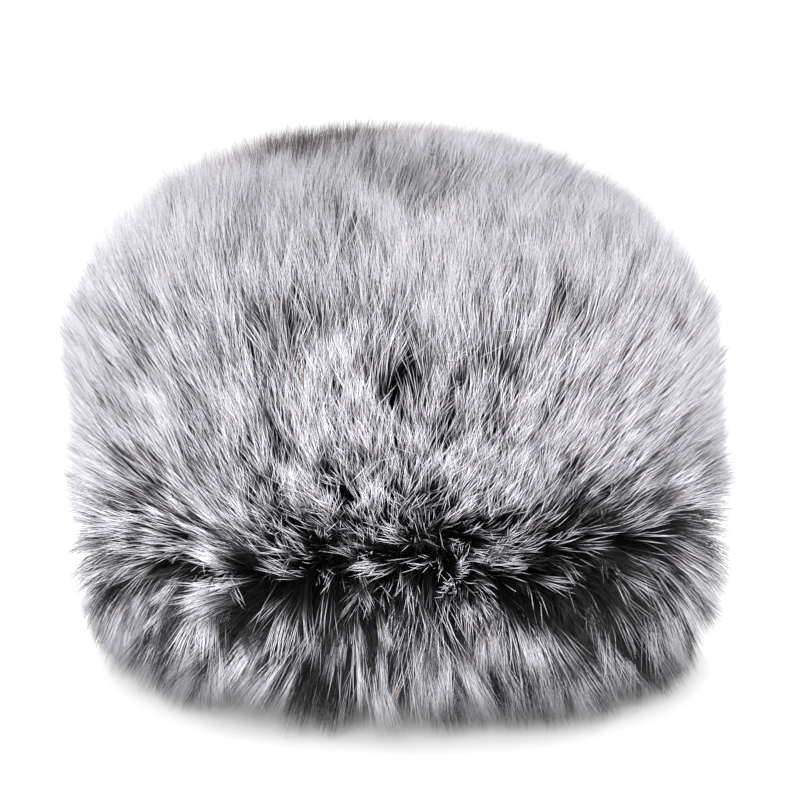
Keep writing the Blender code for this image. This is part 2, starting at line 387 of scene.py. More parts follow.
def scatter(dome, count):
    """Roots over the dome, even but for the crowded fringe: distance up it, and angle round it."""
    table = np.linspace(0, dome.length, 4000)
    radius, height, _ = dome.section(table)
    crowd = radius * np.where(height < HEM_WAVES[0][1] * MM, FRINGE_CROWDING, 1.0)
    crowd = crowd * np.interp(height, *CROWDING)
    area = np.concatenate([[0], np.cumsum((crowd[1:] + crowd[:-1]) / 2)])
    share = (np.arange(count) + 0.5) / count
    rng = np.random.default_rng(3)
    up = np.interp(share, area / area[-1], table) + np.abs(rng.normal(0, ROOT_SCATTER, count))
    golden = math.pi * (3 - math.sqrt(5))
    return np.clip(up, 0, dome.length - 1e-5), (np.arange(count) * golden) % (2 * math.pi)


def outline_table():
    """The pile's outside, as seen from a point on the axis: distance by angle above the horizontal."""
    widest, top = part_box("fur_front")[1].x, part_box("fur_crown")[1].z
    bulge = np.linspace(-math.pi / 2, 0, 24)
    rise = np.linspace(0, math.pi / 2, 40)
    radius = np.concatenate([
        np.linspace(0.0, FRINGE_RADIUS, 12),
        widest - BULGE_RADIUS + BULGE_RADIUS * np.cos(bulge) ** BULGE_SQUARENESS,
        FUR_SHOULDER_START - FUR_SHOULDER_RADIUS + FUR_SHOULDER_RADIUS * np.cos(rise),
        [0.0],
    ])
    height = np.concatenate([
        np.zeros(12),
        BULGE_RADIUS + BULGE_RADIUS * np.sin(bulge),
        top - FUR_SHOULDER_RADIUS + FUR_SHOULDER_RADIUS * np.sin(rise),
        [top],
    ])
    for fluff, middle, spread in (SHOULDER_FLUFF, HEM_FLUFF):
        radius += fluff * np.exp(-(((height - middle) / spread) ** 2))
    height -= CROWN_LAID_DOWN * np.clip((height - LAID_DOWN_FROM) / (top - LAID_DOWN_FROM), 0, 1)
    above = height - top / 2
    angle = np.arctan2(above, radius)
    order = np.argsort(angle)
    return top / 2, angle[order], np.hypot(radius, above)[order]


def outside_by(points, outline):
    """How far points are outside the pile's outline, measured from the middle of the axis."""
    middle, angles, distances = outline
    radius = outer_radius(points)
    high_up = np.clip((points[:, 2] - LEFT_FLUFF_FROM) / LEFT_FLUFF_RISE, 0, 1)
    left = np.clip(-points[:, 0] / radius, 0, 1) * high_up
    radius = radius - LEFT_FLUFF * left
    above = points[:, 2] - middle
    return np.hypot(radius, above) - np.interp(np.arctan2(above, radius), angles, distances)


def reach(roots, way, outline):
    """How far a strand runs from its root along its way to the pile's outline."""
    short, long = np.full(len(roots), SHORTEST), np.full(len(roots), LONGEST)
    for _ in range(18):
        half = (short + long) / 2
        beyond = outside_by(roots + way * half[:, None], outline) > 0
        long = np.where(beyond, half, long)
        short = np.where(beyond, short, half)
    return short


def nap(azimuth, height, noise):
    """How far the strands turn from straight up the cloth, in degrees.

    Also how near they are to the ridge between the parting's two edges, to the dark band around it,
    where colours() paints shade, and to the fringe, each from 0 to 1.
    """
    waves = np.array(HEM_WAVES)
    lower, upper, opening, droop = (np.interp(azimuth, waves[:, 0], waves[:, k]) for k in range(1, 5))
    wide = np.minimum(opening, 1)
    above = height / MM - upper - PARTING_WANDER * noise[:, 0] * np.minimum(1, 0.4 + opening)
    below = lower + noise[:, 1] - height / MM
    first = UPPER_EDGE - UPPER_EDGE_OPENS * opening + droop
    last = LOWER_EDGE + LOWER_EDGE_OPENS * opening + 0.5 * droop
    blend = np.clip(above / (17 - 8 * wide), 0, 1)
    rising = first * (1 - blend) + np.interp(above, *BODY_STAND) * blend
    blend = np.clip(below / 3.0, 0, 1)
    falling = last * (1 - blend) + FRINGE_STAND * blend
    part = np.clip(below / (lower - upper), 0, 1)
    level = RIDGE_STAND + 6 * wide + 0.5 * droop - 32 * (part - 0.5) * (1 - wide) + 15 * noise[:, 2]
    stand = np.where(above > 0, rising, np.where(below > 0, falling, level))
    ridge = np.exp(-np.maximum(np.maximum(above, below), 0) / 2.0)
    shown = np.clip(0.35 + opening, 0, 1)
    dark = np.where(above > 0, np.exp(-((above / 6) ** 2)), 1 - 0.9 * np.clip(below / 2.5, 0, 1))
    return stand, ridge * shown, dark * shown, np.clip(below / 1.5, 0, 1)


def splits(azimuth, height, radius):
    """Sideways lean away from each small opening in the nap, in radians, and how bare it is there."""
    lean, bare = np.zeros(len(height)), np.zeros(len(height))
    rng = np.random.default_rng(14)
    faint = [
        (rng.uniform(-180, 180), rng.uniform(*FAINT_SPLIT_HEIGHTS), rng.uniform(*FAINT_SPLIT_STRENGTHS))
        for _ in range(FAINT_SPLITS)
    ]
    for where, up, strength in list(SPLITS) + faint:
        across = (azimuth - where + 180) % 360 - 180
        across = np.radians(across) * radius
        away = (across / SPLIT_HALF_WIDTH) ** 2 + ((height - up * MM) / SPLIT_HALF_HEIGHT) ** 2
        near = np.exp(-away) * strength
        lean += SPLIT_LEAN * near * np.tanh(across / (0.4 * MM))
        bare = np.maximum(bare, near)
    return lean, bare


def shade_in_hollows(azimuth, height):
    """How much painted shade darkens the strands in the parting's deep places."""
    dark = np.zeros(len(height))
    for where, up, half_width, strength in HOLLOW_SHADES:
        away = ((azimuth - where) / half_width) ** 2 + ((height - up * MM) / HOLLOW_HALF_HEIGHT) ** 2
        dark = np.maximum(dark, strength * np.exp(-away))
    return dark


class Pile:
    """Every strand's root, the cloth's directions there, its tuft and lock, and the zones it is in."""

    def __init__(self, dome):
        up, self.turn = scatter(dome, STRANDS)
        self.radius, _, self.tilt = dome.section(up)
        self.azimuth = (np.degrees(self.turn) + 270) % 360 - 180
        self.roots, self.normal, climb, _ = surface_frame(dome, up, self.turn)
        self.crown = self.tilt > CROWN_TILT
        swept = np.array(CROWN_NAP)
        swept = unit(swept - self.normal * (self.normal @ swept)[:, None])
        self.climb = np.where(self.crown[:, None], swept, climb)
        self.across = np.cross(self.climb, self.normal)
        self.tuft, self.tufts = gather(self.roots, TUFT_SPACING, 31)
        self.lock, self.locks = gather(self.roots, LOCK_SPACING, 32)
        self.rng = np.random.default_rng(11)
        self.tuft_rng = np.random.default_rng(33)
        self.lock_rng = np.random.default_rng(34)
        self.find_hem_zones()
        self.find_crown_zones()

    def tuft_normal(self, spread):
        """A normal value for each strand, the same through its tuft."""
        return self.tuft_rng.normal(0, spread, self.tufts)[self.tuft]

    def tuft_uniform(self, low=0.0, high=1.0):
        """An even value for each strand, the same through its tuft."""
        return self.tuft_rng.uniform(low, high, self.tufts)[self.tuft]

    def lock_normal(self):
        """A normal value for each strand, the same through its lock."""
        return self.lock_rng.normal(0, 1, self.locks)[self.lock]

    def find_hem_zones(self):
        """How the tufts stand round the parting, where they are split, and where painted shade darkens
        them in the dark band and the deep places.
        """
        home = middles(self.roots, self.tuft, self.tufts)[self.tuft]
        height = home[:, 2]
        azimuth = np.degrees(np.arctan2(home[:, 0], -home[:, 1]))
        self.broad = smooth_noise(home, BROAD_WAVES, 4, 21)
        self.fine = smooth_noise(home, FINE_WAVES, 4, 22)
        ragged = self.fine + self.tuft_rng.normal(0, 0.5, (self.tufts, 4))[self.tuft]
        self.stand, self.ridge, self.band, self.fringe = nap(azimuth, height, ragged)
        self.split_lean, self.bare = splits(azimuth, height, self.radius)
        self.hollow_shade = shade_in_hollows(azimuth, height)

    def find_crown_zones(self):
        """How near the strands are to the shown seam, to the laid pile behind it, and to the patch."""
        shows = np.interp(self.azimuth, *SEAM_SHOWS)
        beside = np.exp(-(((self.tilt - CROWN_TILT) / SEAM_SPREAD) ** 2))
        self.seam = np.where(self.crown, 0, beside) * shows
        behind = np.clip((outer_radius(self.roots) - BEHIND_SEAM) / BEHIND_SEAM_SPREAD, 0, 1)
        self.behind = np.where(self.crown, behind, 0) * shows
        away = (self.roots[:, :2] - PATCH_PLACE) / PATCH_SPREAD
        patch = np.exp(-(away[:, 0] ** 2) - away[:, 1] ** 2)
        self.patch = np.where(self.crown, np.clip(PATCH_FULLNESS * patch, 0, 1), 0)


def directions(pile):
    """Which way each strand runs, and which of them are strays."""
    rng, broad, fine = pile.rng, pile.broad, pile.fine
    edge = np.interp(pile.azimuth, *SEAM_STAND)
    sides = pile.stand + (edge - pile.stand) * pile.seam
    top = CROWN_STAND - 16 * pile.behind + 6 * broad[:, 2]
    stand = np.where(pile.crown, top, sides) + 15 * pile.patch
    stand += 5 * broad[:, 1] + 5 * fine[:, 0] + pile.tuft_normal(6) * (1 - 0.8 * pile.seam)
    stand += 10 * pile.ridge * pile.lock_normal()
    stand = np.radians(stand + rng.normal(0, 6.5, STRANDS))
    lean = 8 * broad[:, 3] + 8 * fine[:, 1] + pile.tuft_normal(8) + rng.normal(0, 7.5, STRANDS)
    tousled = 9 * pile.lock_normal() + 9 * pile.tuft_normal(1)
    lean += pile.ridge * tousled
    lean += pile.fringe * np.interp(pile.azimuth, *FRINGE_FAN)
    lean = np.radians(lean) + np.where(pile.crown, 0, pile.split_lean)
    stray = rng.random(STRANDS) < STRAY_SHARE
    lean += np.where(stray, rng.normal(0, 0.35, STRANDS), 0)
    stand += np.where(stray, rng.normal(0, 0.3, STRANDS), 0)
    up, out, aside = np.cos(stand), np.sin(stand), np.tan(np.clip(lean, -0.8, 0.8))
    way = up[:, None] * pile.climb + out[:, None] * pile.normal + aside[:, None] * pile.across
    return unit(way), stray


def find_tips(pile, way, stray, outline):
    """Where the strands end: at the outline, drawn together in tufts and locks, and cut unevenly.

    Also which of them are short underfur.
    """
    rng, roots = pile.rng, pile.roots
    tips = roots + way * reach(roots, way, outline)[:, None]
    pull = pile.tuft_uniform(0.3, 0.7)
    tips += (middles(tips, pile.tuft, pile.tufts)[pile.tuft] - tips) * np.where(stray, 0, pull)[:, None]
    pull = pile.tuft_rng.uniform(0.0, 0.3, pile.locks)[pile.lock]
    pull += np.maximum(0.1 * pile.band, 0.2 * pile.fringe)
    tips += (middles(tips, pile.lock, pile.locks)[pile.lock] - tips) * np.where(stray, 0, pull)[:, None]
    uneven = pile.tuft_uniform(0.91, 1.03) * (1 - 0.3 * pile.bare)
    sparse = pile.ridge * (pile.lock_rng.random(pile.locks)[pile.lock] < 0.4)
    uneven *= 1 - 0.3 * sparse
    uneven += (np.interp(pile.azimuth, *SEAM_TRIM) - uneven) * pile.seam
    share = rng.uniform(0.95, 1.05, STRANDS) * uneven * (1 - 0.16 * pile.behind)
    short = rng.random(STRANDS) < SHORT_SHARE
    share = np.where(short, share * rng.uniform(0.55, 0.9, STRANDS), share)
    tips = roots + (tips - roots) * share[:, None]
    tips[:, 2] = np.maximum(tips[:, 2], 0.3 * MM + 0.8 * MM * rng.random(STRANDS))
    return tips, short


def colours(pile, stray, short):
    """Each strand's shade, which varies and tints it, and tone, which moves it along the ramp and
    carries painted shade and light by zone.
    """
    rng = pile.rng
    shade = 0.5 * pile.tuft_uniform() + 0.5 * rng.random(STRANDS)
    warm = rng.random(STRANDS) < WARM_SHARE + PATCH_WARM_SHARE * pile.patch
    shade = np.where(warm, WARM_SHADE + (1 - WARM_SHADE) * shade, WARM_SHADE * shade * 0.97)
    tone = pile.tuft_uniform(0.94, 1.06) * rng.uniform(0.95, 1.05, STRANDS) * (1 - 0.36 * pile.patch)
    # Painted shade: darker crown pile just behind the shown seam, and darker strands at the nap's small
    # openings
    tone *= (1 - 0.11 * pile.behind) * (1 - 0.06 * np.minimum(pile.bare, 1))
    tone *= np.where(pile.tuft_uniform() < 0.15, 0.82, 1.0)
    dim = pile.tuft_uniform()
    # Painted shade in the band round the parting: most of its tufts are darkened, a few lightened
    tone *= 1 + pile.band * np.where(dim < 0.55, 0.15, -0.34 * dim)
    # Painted light on the fringe's lip, which sits in shade by the floor: about half its tufts are
    # lightened; painted shade in the gaps: the rest are darkened
    tone *= 1 + pile.fringe * np.where(dim < 0.5, 0.22, -0.62 * dim)
    # Painted shade in the parting's deep places: strands there are darkened
    tone *= 1 - pile.hollow_shade * np.where(dim < 0.2, 0.3, 1.0)
    tone = np.where(short, SHORT_TONE * tone, tone)
    tone = np.where(stray, 1.1, tone)
    return np.clip(shade, 0, 0.999), tone


def grow(pile, outline):
    """Every strand's points, thickness, shade, tone and panel."""
    way, stray = directions(pile)
    tips, short = find_tips(pile, way, stray, outline)
    points = bend(pile.roots, tips, pile.normal, pile.rng)
    points[:, :, 2] = np.maximum(points[:, :, 2], CLEAR_OF_TABLE)
    shade, tone = colours(pile, stray, short)
    thick = STRAND_RADIUS * pile.rng.uniform(0.7, 1.15, STRANDS) * np.where(stray, 0.8, 1)
    panel = np.where(pile.crown, 2, np.where(pile.roots[:, 1] < 0, 0, 1))
    return points, thick, shade, tone, panel


def tree_of(points):
    """A tree for finding the nearest of some points."""
    tree = kdtree.KDTree(len(points))
    for number, point in enumerate(points):
        tree.insert(point, number)
    tree.balance()
    return tree


def gather(roots, spacing, seed):
    """Which tuft each strand belongs to, and how many tufts there are."""
    cell = np.floor(roots / (0.7 * spacing)).astype(int)
    _, first = np.unique(cell, axis=0, return_index=True)
    rng = np.random.default_rng(seed)
    centres = roots[rng.permutation(first)]
    tree = tree_of(centres)
    free = np.ones(len(centres), bool)
    kept = []
    for number, centre in enumerate(centres):
        if free[number]:
            kept.append(centre)
            for _, near, _ in tree.find_range(centre, 0.8 * spacing):
                free[near] = False
    tree = tree_of(kept)
    return np.array([tree.find(root)[1] for root in roots]), len(kept)


def outer_radius(points):
    """Distance from the cover's axis."""
    return np.hypot(points[:, 0], points[:, 1])


def middles(points, group, count):
    """Mean point of each group."""
    size = np.maximum(np.bincount(group, minlength=count), 1)
    return np.stack([np.bincount(group, points[:, k], count) / size for k in range(3)], 1)


def bend(roots, tips, normal, rng):
    """Points along each strand, which leaves the cloth steeply and bends over towards its tip."""
    run = tips - roots
    length = np.linalg.norm(run, axis=1, keepdims=True)
    knee = roots + normal * length * KNEE_OUT + run * KNEE_ALONG
    t = STRAND_STATIONS[None, :, None]
    curve = (1 - t) ** 2 * roots[:, None] + 2 * t * (1 - t) * knee[:, None] + t**2 * tips[:, None]
    waver = rng.normal(0, STRAND_WAVER, (len(roots), len(STRAND_STATIONS), 3)) * length[:, None]
    waver[:, 0] = 0
    return curve + waver * t


def strand_mesh(name, points, thick, shade, tone):
    """A mesh of three-sided tapering spikes along the rows of points, closed at the root."""
    count, stations, _ = points.shape
    rings = stations - 1
    along = unit(np.gradient(points, axis=1))
    side = unit(np.cross(along, np.array([0.3, 0.5, 0.81])))
    other = np.cross(along, side)
    corner = np.arange(3) * 2 * math.pi / 3
    ring = (
        np.cos(corner)[None, None, :, None] * side[:, :rings, None]
        + np.sin(corner)[None, None, :, None] * other[:, :rings, None]
    )
    ring = points[:, :rings, None] + ring * (thick[:, None] * STRAND_TAPER[None, :])[:, :, None, None]
    block = np.concatenate([ring.reshape(count, rings * 3, 3), points[:, -1:]], axis=1)
    size = rings * 3 + 1
    quads = [
        (3 * k + j, 3 * k + (j + 1) % 3, 3 * k + 3 + (j + 1) % 3, 3 * k + 3 + j)
        for k in range(rings - 1) for j in range(3)
    ]
    last = 3 * (rings - 1)
    triangles = [(last + j, last + (j + 1) % 3, size - 1) for j in range(3)] + [(2, 1, 0)]
    base = (np.arange(count) * size)[:, None, None]
    corners = [(base + np.array(shape)).reshape(count, -1) for shape in (quads, triangles)]
    corners = np.concatenate(corners, axis=1)
    sizes = np.tile([4] * len(quads) + [3] * len(triangles), count)
    starts = np.concatenate([[0], np.cumsum(sizes)[:-1]])
    mesh = bpy.data.meshes.new(name)
    mesh.vertices.add(count * size)
    mesh.vertices.foreach_set("co", block.astype(np.float32).ravel())
    mesh.loops.add(corners.size)
    mesh.loops.foreach_set("vertex_index", corners.astype(np.int32).ravel())
    mesh.polygons.add(len(sizes))
    mesh.polygons.foreach_set("loop_start", starts.astype(np.int32))
    mesh.polygons.foreach_set("use_smooth", np.ones(len(sizes), bool))
    u = np.empty((count, size))
    u[:, : rings * 3] = shade[:, None] + np.tile([0.0, 0.006, 0.012], rings)
    u[:, -1] = shade + 0.006
    v = np.append(np.repeat(STRAND_STATIONS[:rings], 3), 1.0) * tone[:, None]
    uv = np.stack([u, np.clip(v, 0.002, 0.998)], -1)
    add_uv(mesh, uv.reshape(-1, 2)[corners.ravel()], 0.001)
    mesh.update()
    return mesh


def fur_material():
    """Two-tone fibre: black from the root, light cool grey at the tip, each strand a little different.

    The UV map's first value is the strand's shade, and its second is the place along it times its tone.
    """
    material, nodes, links, shader = new_material("fur", 0.48)
    math_node = calculator(nodes, links)
    put(shader, "Specular IOR Level", 0.35)
    uv = nodes.new("ShaderNodeUVMap")
    uv.uv_map = UV_NAME
    split = nodes.new("ShaderNodeSeparateXYZ")
    links.new(uv.outputs[0], split.inputs[0])
    variety = nodes.new("ShaderNodeTexNoise")
    variety.noise_dimensions = "1D"
    put(variety, "Scale", 34.0)
    put(variety, "Detail", 0.0)
    links.new(split.outputs["X"], variety.inputs["W"])
    shift = math_node("MULTIPLY_ADD", variety.outputs["Fac"], 2 * SHADE_SHIFT, -SHADE_SHIFT)
    along = math_node("ADD", split.outputs["Y"], shift)
    colour = add_ramp(nodes, links, along, FUR_COLOURS)
    warm = math_node("GREATER_THAN", split.outputs["X"], WARM_SHADE)
    tint = nodes.new("ShaderNodeMix")
    tint.data_type = "RGBA"
    tint.blend_type = "MULTIPLY"
    put(tint, "B", (*WARM_TINT, 1))
    links.new(warm, tint.inputs["Factor"])
    links.new(colour, tint.inputs["A"])
    links.new(tint.outputs["Result"], shader.inputs["Base Color"])
    return material


def add_piece(name, mesh, material, slot, *nodes):
    """A new visible piece that rides on the cover and stands for CAD nodes."""
    piece = add_object(name, mesh)
    mesh.materials.append(material)
    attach(piece, "root")
    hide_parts(*nodes)
    return piece


def add_fur():
    """The pile of the three panels, in pieces of a size that other programs can take."""
    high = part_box("backing_front")[1]
    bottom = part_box("hem_binding")[1].z - ROOTS_UNDER_BINDING
    dome = Dome(high.x, bottom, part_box("backing_crown")[1].z, SHOULDER_RADIUS)
    pile = Pile(dome)
    points, thick, shade, tone, panel = grow(pile, outline_table())
    material = fur_material()
    for number, node in enumerate(("fur_front", "fur_back", "fur_crown")):
        own = np.flatnonzero(panel == number)
        own = own[np.argsort(pile.turn[own])]
        parts = math.ceil(len(own) / STRANDS_A_PIECE)
        for part, chosen in enumerate(np.array_split(own, parts), 1):
            name = f"{node}_{part}"
            mesh = strand_mesh(name, points[chosen], thick[chosen], shade[chosen], tone[chosen])
            add_piece(name, mesh, material, "fur_pile", node)


def turned(name, outline_at, first, last, steps):
    """A closed body: an outline of radius and height, which may change on the way, turned about Z."""
    whole = last - first > 2 * math.pi - 1e-6
    angles = np.linspace(first, last, steps + 1)[:, None]
    radius, height = outline_at(angles)
    points = np.stack([radius * np.cos(angles), radius * np.sin(angles), height], -1)
    size = points.shape[1]
    rings = steps if whole else steps + 1
    step = np.repeat(np.arange(steps), size)
    place = np.tile(np.arange(size), steps)
    after, beside = (step + 1) % rings, (place + 1) % size
    here, there = step * size, after * size
    faces = np.stack([here + place, there + place, there + beside, here + beside], 1).tolist()
    across = np.stack([step, step + 1, step + 1, step], 1) / steps
    along = np.stack([place, place, place + 1, place + 1], 1) / size
    uv = np.stack([across, along], -1).reshape(-1, 2)
    if not whole:
        faces += [list(range(size)), list(range(steps * size, (steps + 1) * size))]
        rim = np.arange(size) / size
        uv = np.concatenate([uv, np.stack([0 * rim, rim], 1), np.stack([0 * rim + 1, rim], 1)])
    mesh = bpy.data.meshes.new(name)
    mesh.from_pydata(points[:rings].reshape(-1, 3).tolist(), [], faces)
    add_uv(mesh, uv, 0.001)
    body = bmesh.new()
    body.from_mesh(mesh)
    bmesh.ops.remove_doubles(body, verts=body.verts, dist=1e-6)
    bmesh.ops.recalc_face_normals(body, faces=body.faces)
    body.to_mesh(mesh)
    body.free()
    mesh.shade_smooth()
    mesh.set_sharp_from_angle(angle=math.radians(50))
    return mesh


def cloth_section(radius, height, thickness, ripple):
    """Outline of a cloth of even thickness about a middle line, for turned(), moved out by ripple."""
    def outline_at(angles):
        run = np.gradient(radius), np.gradient(height)
        length = np.hypot(*run)
        out = np.stack([run[1] / length, -run[0] / length])
        out[:, radius < 1e-6] = np.array([[0.0], [1.0]])
        moved = ripple(angles) * np.ones((len(angles), len(radius)))
        sides = []
        for side in (0.5, -0.5):
            shift = moved + side * thickness
            sides.append((radius + shift * out[0], height + shift * out[1]))
        return tuple(np.concatenate([sides[0][k], sides[1][k][:, ::-1]], 1) for k in (0, 1))
    return outline_at


def wall(offset):
    """The middle of a cloth layer that lies offset outside the room for the microphone."""
    return Dome(CAVITY_RADIUS + offset, CLOTH_BOTTOM, CAVITY_TOP + offset, CAVITY_SHOULDER + offset)


def seam_place(dome):
    """Distance up a layer at which the crown is sewn in."""
    return dome.wall + dome.shoulder * math.radians(SEAM_ANGLE)


def pattern_material(name, cloth, around, along, planar=False):
    """Cloth whose stitches or threads repeat around x along times, or, if planar, in every metre. Its
    colour carries painted highlights on the raised stitches and painted shade between them.
    """
    dark, light, relief, roughness, sheen = cloth
    material, nodes, links, shader = new_material(name, roughness)
    math_node = calculator(nodes, links)
    put(shader, "Sheen Weight", sheen)
    put(shader, "Sheen Roughness", 0.5)
    put(shader, "Specular IOR Level", 0.25)
    if planar:
        place = nodes.new("ShaderNodeTexCoord").outputs["Object"]
    else:
        uv = nodes.new("ShaderNodeUVMap")
        uv.uv_map = UV_NAME
        place = uv.outputs[0]
    split = nodes.new("ShaderNodeSeparateXYZ")
    links.new(place, split.inputs[0])
    column = math_node("MULTIPLY", split.outputs["X"], around)
    row = math_node("MULTIPLY", split.outputs["Y"], along)
    slant = math_node("PINGPONG", column, 0.5)
    row = math_node("ADD", row, slant)
    rows = math_node("SINE", math_node("MULTIPLY", row, 2 * math.pi))
    columns = math_node("ABSOLUTE", math_node("SINE", math_node("MULTIPLY", column, math.pi)))
    height = math_node("MULTIPLY", math_node("MULTIPLY_ADD", rows, 0.35, 0.65), columns)
    noise = nodes.new("ShaderNodeTexNoise")
    put(noise, "Scale", 240.0)
    put(noise, "Detail", 3.0)
    links.new(nodes.new("ShaderNodeTexCoord").outputs["Object"], noise.inputs["Vector"])
    # Painted highlight and shade: lighter on the raised stitches, darker in the grooves, on top of the
    # noise's random tone
    shade = math_node("MULTIPLY_ADD", noise.outputs["Fac"], 0.5, math_node("MULTIPLY", height, 0.6))
    colour = add_ramp(nodes, links, shade, ((0.0, dark), (1.0, light)))
    links.new(colour, shader.inputs["Base Color"])
    bump = nodes.new("ShaderNodeBump")
    put(bump, "Strength", 0.6)
    put(bump, "Distance", relief)
    links.new(height, bump.inputs["Height"])
    links.new(bump.outputs[0], shader.inputs["Normal"])
    return material


def add_backing():
    """The knitted cloth that the pile grows from: two half-turn panels and a crown."""
    dome = wall(BACKING_MIDDLE)
    groove = SEAM_GROOVE / 2
    seam = seam_place(dome)
    width, length = math.pi * dome.radius - SEAM_GROOVE, seam - groove
    material = pattern_material("knit", KNIT, width / KNIT_PITCH, 2 * length / KNIT_PITCH)
    rise = np.linspace(0, 1, BACKING_STEPS)
    up = np.linspace(0, length, BACKING_STEPS)
    radius, height, _ = dome.section(up)
    trim = groove / dome.section(seam)[0]
    for name, node, start in (
        ("knit_front", "backing_front", math.pi),
        ("knit_back", "backing_back", 0.0),
    ):
        waves = np.random.default_rng(len(name)).uniform(0, 2 * math.pi, 3)

        def ripple(angles, waves=waves):
            slow = np.sin(9 * angles + waves[0] + 5 * rise)
            quick = np.sin(23 * angles + waves[1] - 9 * rise)
            return 0.06 * MM * (slow + quick)

        section = cloth_section(radius, height, BACKING_THICKNESS, ripple)
        mesh = turned(name, section, start + trim, start + math.pi - trim, 140)
        piece = add_piece(name, mesh, material, "knit_backing", node)
    up = np.linspace(seam + groove, dome.length, CROWN_STEPS)
    radius, height, _ = dome.section(up)
    flat_knit = pattern_material("knit_crown", KNIT, 1 / KNIT_PITCH, 1 / KNIT_PITCH, planar=True)
    section = cloth_section(radius, height, BACKING_THICKNESS, still)
    mesh = turned("knit_crown", section, 0.0, 2 * math.pi, 120)
    piece = add_piece("knit_crown", mesh, flat_knit, "knit_backing", "backing_crown")


def still(angles):
    """No ripple."""
    return 0.0 * angles


def add_lining():
    """The jersey lining: a sleeve, seamed at the back and gathered a little by the hem, and a crown."""
    dome = wall(LINING_THICKNESS / 2)
    groove = SEAM_GROOVE / 2
    seam = seam_place(dome)
    width, length = 2 * math.pi * dome.radius - SEAM_GROOVE, seam - groove
    material = pattern_material("jersey", JERSEY, width / JERSEY_PITCH, 2 * length / JERSEY_PITCH)
    rise = np.linspace(0, 1, LINING_STEPS)
    radius, height, _ = dome.section(rise * length)

    def ripple(angles):
        folds = np.sin(31 * angles + 3 * np.sin(2 * angles))
        folds = folds + 0.7 * np.sin(47 * angles + 2 * np.sin(5 * angles + 1))
        sags = np.sin(7 * angles + 9 * rise) * np.sin(4 * angles - 6 * rise + 2)
        slack = 0.16 * np.exp(-rise * 5) * (folds - 1.7) + 0.18 * (sags - 1) * rise * (1 - rise) * 4
        return slack * MM

    trim = groove / dome.section(seam)[0]
    start = math.pi / 2 + trim
    section = cloth_section(radius, height, LINING_THICKNESS, ripple)
    mesh = turned("lining_sleeve_cloth", section, start, start + 2 * math.pi - 2 * trim, 420)
    piece = add_piece("lining_sleeve_cloth", mesh, material, "lining_cloth", "lining_sleeve")
    up = np.linspace(seam + groove, dome.length, CROWN_STEPS)
    radius, height, _ = dome.section(up)
    repeats = 1 / JERSEY_PITCH
    flat_jersey = pattern_material("jersey_crown", JERSEY, repeats, repeats, planar=True)

    def sag(angles):
        inwards = np.linspace(0, 1, CROWN_STEPS)
        return -0.14 * MM * (1 + np.sin(5 * angles + 7 * inwards)) * inwards * (1 - inwards) * 4

    section = cloth_section(radius, height, LINING_THICKNESS, sag)
    mesh = turned("lining_crown_cloth", section, 0.0, 2 * math.pi, 120)
    piece = add_piece("lining_crown_cloth", mesh, flat_jersey, "lining_cloth", "lining_crown")


def add_binding():
    """The tape folded round the hem: gathered, pinched by its stitches, and lapped at the back."""
    low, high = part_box("hem_binding")
    inner = CAVITY_RADIUS - LAYER_GAP - BINDING_THICKNESS / 2
    outer = high.x - BINDING_THICKNESS / 2
    fold = (outer - inner) / 2
    bend = np.linspace(math.pi, 2 * math.pi, 15)
    corner = low.z + BINDING_THICKNESS / 2 + fold
    climb = np.linspace(corner, high.z, 18)[1:]
    across = (inner + outer) / 2 + fold * np.cos(bend)
    radius = np.concatenate([np.full(len(climb), inner), across, np.full(len(climb), outer)])
    height = np.concatenate([climb[::-1], corner + fold * np.sin(bend), climb])
    pinch = np.exp(-(((height - STITCH_HEIGHT) / (0.8 * MM)) ** 2))
    loose = 0.10 + 0.30 * np.clip((STITCH_HEIGHT - height) / (9 * MM), 0, 1)

    def ripple(angles):
        gathers = np.sin(58 * angles + 4 * np.sin(3 * angles))
        gathers = gathers + 0.5 * np.sin(91 * angles + 3 * np.sin(4 * angles + 2))
        lap = 1 / (1 + np.exp(-(LAP_HALF_ANGLE - np.abs(angles - math.pi / 2)) / 0.004))
        return (loose * 0.6 * (gathers + 0.9) - 0.22 * pinch + 0.45 * lap) * MM

    section = cloth_section(radius, height, BINDING_THICKNESS, ripple)
    mesh = turned("folded_binding", section, -math.pi / 2, 3 * math.pi / 2, 720)
    width = np.hypot(np.diff(radius), np.diff(height)).sum()
    length = math.pi * (inner + outer) * BINDING_FULLNESS
    material = pattern_material("tape", TAPE, length / TAPE_PITCH, 2 * width / TAPE_PITCH)
    piece = add_piece("folded_binding", mesh, material, "binding_tape", "hem_binding")


def ribbed_section(low, high, middle, thickness):
    """Outline of a ribbed elastic: a cord every millimetre on both faces, between two heights."""
    rise = np.linspace(0, 1, 65)
    cords = np.abs(np.sin(rise * math.pi * round((high - low) / MM)))
    half = thickness / 2 * (0.80 + 0.20 * cords) * np.sqrt(np.clip(rise * (1 - rise) * 60, 0.04, 1))
    climb = low + rise * (high - low)
    return np.concatenate([middle + half, (middle - half)[::-1]]), np.concatenate([climb, climb[::-1]])


